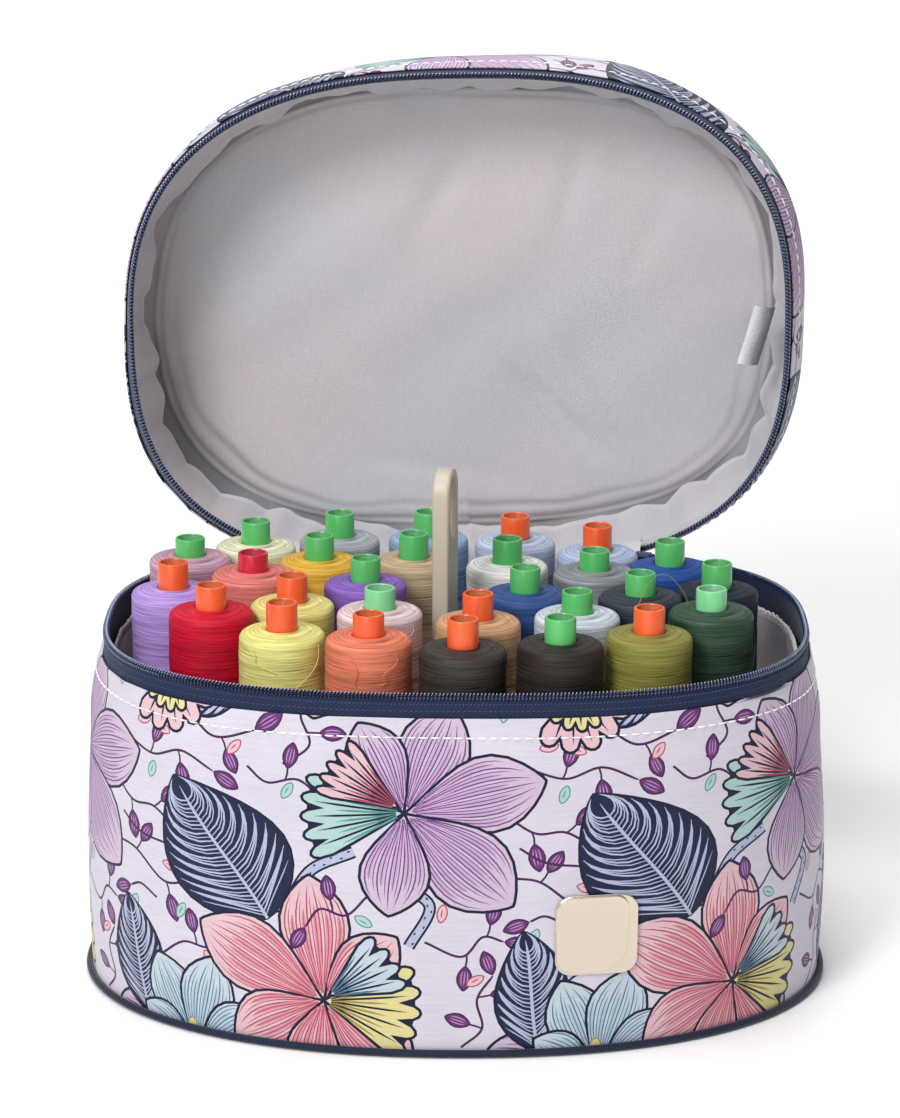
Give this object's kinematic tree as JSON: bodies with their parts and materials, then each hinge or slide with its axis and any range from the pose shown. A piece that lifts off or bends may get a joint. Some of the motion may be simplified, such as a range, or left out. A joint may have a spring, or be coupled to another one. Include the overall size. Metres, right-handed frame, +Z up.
{
  "type": "sewing box with trays",
  "caption": "Oval soft-sided sewing box with a zipped, back-hinged lid standing open and a lift-out peg tray of thread reels on a central handle.",
  "frame": {"origin": "centre of the base's underside, on the surface that it stands on", "axes": "+Z up, +X to the right and -Y to the front, the side with the badge; the lid is hinged at the back, along X"},
  "size_m": [0.3024, 0.3218, 0.3429],
  "materials": {
    "print_fabric": "coated printed fabric, pale lilac ground with a dense floral print in navy, coral and lilac",
    "base_fabric": "dark navy woven base fabric and piping",
    "zip_tape": "navy twill zip tape",
    "zip_coil": "navy nylon coil",
    "lining": "light grey nylon lining with a soft sheen",
    "foam": "closed-cell foam sheet",
    "board": "stiffening board",
    "badge": "satin champagne metal",
    "satin_label": "satin ribbon",
    "webbing": "navy webbing",
    "zip_metal": "navy enamelled metal",
    "plastic": "moulded beige plastic with a fine texture",
    "core_green": "moulded plastic tube",
    "core_pale_green": "moulded plastic tube",
    "core_orange": "moulded plastic tube",
    "core_crimson": "moulded plastic tube",
    "thread_01": "cross-wound sewing thread",
    "thread_02": "cross-wound sewing thread",
    "thread_03": "cross-wound sewing thread",
    "thread_04": "cross-wound sewing thread",
    "thread_05": "cross-wound sewing thread",
    "thread_06": "cross-wound sewing thread",
    "thread_07": "cross-wound sewing thread",
    "thread_08": "cross-wound sewing thread",
    "thread_09": "cross-wound sewing thread",
    "thread_10": "cross-wound sewing thread",
    "thread_11": "cross-wound sewing thread",
    "thread_12": "cross-wound sewing thread",
    "thread_13": "cross-wound sewing thread",
    "thread_14": "cross-wound sewing thread",
    "thread_15": "cross-wound sewing thread",
    "thread_16": "cross-wound sewing thread",
    "thread_17": "cross-wound sewing thread",
    "thread_18": "cross-wound sewing thread",
    "thread_19": "cross-wound sewing thread",
    "thread_20": "cross-wound sewing thread",
    "thread_21": "cross-wound sewing thread",
    "thread_22": "cross-wound sewing thread",
    "thread_23": "cross-wound sewing thread",
    "thread_24": "cross-wound sewing thread",
    "thread_25": "cross-wound sewing thread",
    "thread_26": "cross-wound sewing thread",
    "thread_27": "cross-wound sewing thread",
    "thread_28": "cross-wound sewing thread"
  },
  "bodies": {
    "case": {"base_cover": "base_fabric", "base_board": "board", "base_lining": "lining", "base_piping": "base_fabric", "side_cover": "print_fabric", "side_foam": "foam", "side_lining": "lining", "body_zip_tape": "zip_tape", "body_zip_coil": "zip_coil", "hinge_strip": "print_fabric", "badge_plate": "badge", "badge_face": "badge", "zip_slider_left": "zip_metal", "zip_slider_right": "zip_metal"},
    "lid": {"lid_side_cover": "print_fabric", "lid_top_cover": "print_fabric", "lid_piping": "base_fabric", "lid_side_foam": "foam", "lid_board": "board", "lid_side_lining": "lining", "lid_top_lining": "lining", "lid_zip_tape": "zip_tape", "lid_zip_coil": "zip_coil", "lid_label": "satin_label", "carry_strap": "webbing"},
    "insert": {"lift_handle": "plastic", "lower_tray": "plastic", "tray_spacer": "plastic"},
    "upper_tray": {"upper_tray": "plastic", "spool_01": "thread_01", "spool_02": "thread_02", "spool_03": "thread_03", "spool_04": "thread_04", "spool_05": "thread_05", "spool_06": "thread_06", "spool_07": "thread_07", "spool_08": "thread_08", "spool_09": "thread_09", "spool_10": "thread_10", "spool_11": "thread_11", "spool_12": "thread_12", "spool_13": "thread_13", "spool_14": "thread_14", "spool_15": "thread_15", "spool_16": "thread_16", "spool_17": "thread_17", "spool_18": "thread_18", "spool_19": "thread_19", "spool_20": "thread_20", "spool_21": "thread_21", "spool_22": "thread_22", "spool_23": "thread_23", "spool_24": "thread_24", "spool_25": "thread_25", "spool_26": "thread_26", "spool_27": "thread_27", "spool_28": "thread_28"},
    "zip_pull_left": {"zip_pull_left": "zip_metal"},
    "zip_pull_right": {"zip_pull_right": "zip_metal"}
  },
  "joints": [
    {"name": "lid_hinge", "type": "hinge", "parent": "case", "child": "lid", "pos_m": [0, 0.1035, 0.137], "axis": [1, 0, 0], "range_deg": [0, 93.5]},
    {"name": "insert_lift", "type": "slide", "parent": "case", "child": "insert", "axis": [0, 0, 1], "range_m": [0, 0.3]},
    {"name": "upper_tray_lift", "type": "slide", "parent": "insert", "child": "upper_tray", "axis": [0, 0, 1], "range_m": [0, 0.26]},
    {"name": "zip_pull_left_swing", "type": "hinge", "parent": "case", "child": "zip_pull_left", "pos_m": [-0.08001, 0.09845, 0.1435], "axis": [0.9499, 0.3125, 0], "range_deg": [0, 85]},
    {"name": "zip_pull_right_swing", "type": "hinge", "parent": "case", "child": "zip_pull_right", "pos_m": [0.08001, 0.09845, 0.1435], "axis": [0.9499, -0.3125, 0], "range_deg": [0, 85]}
  ]
}
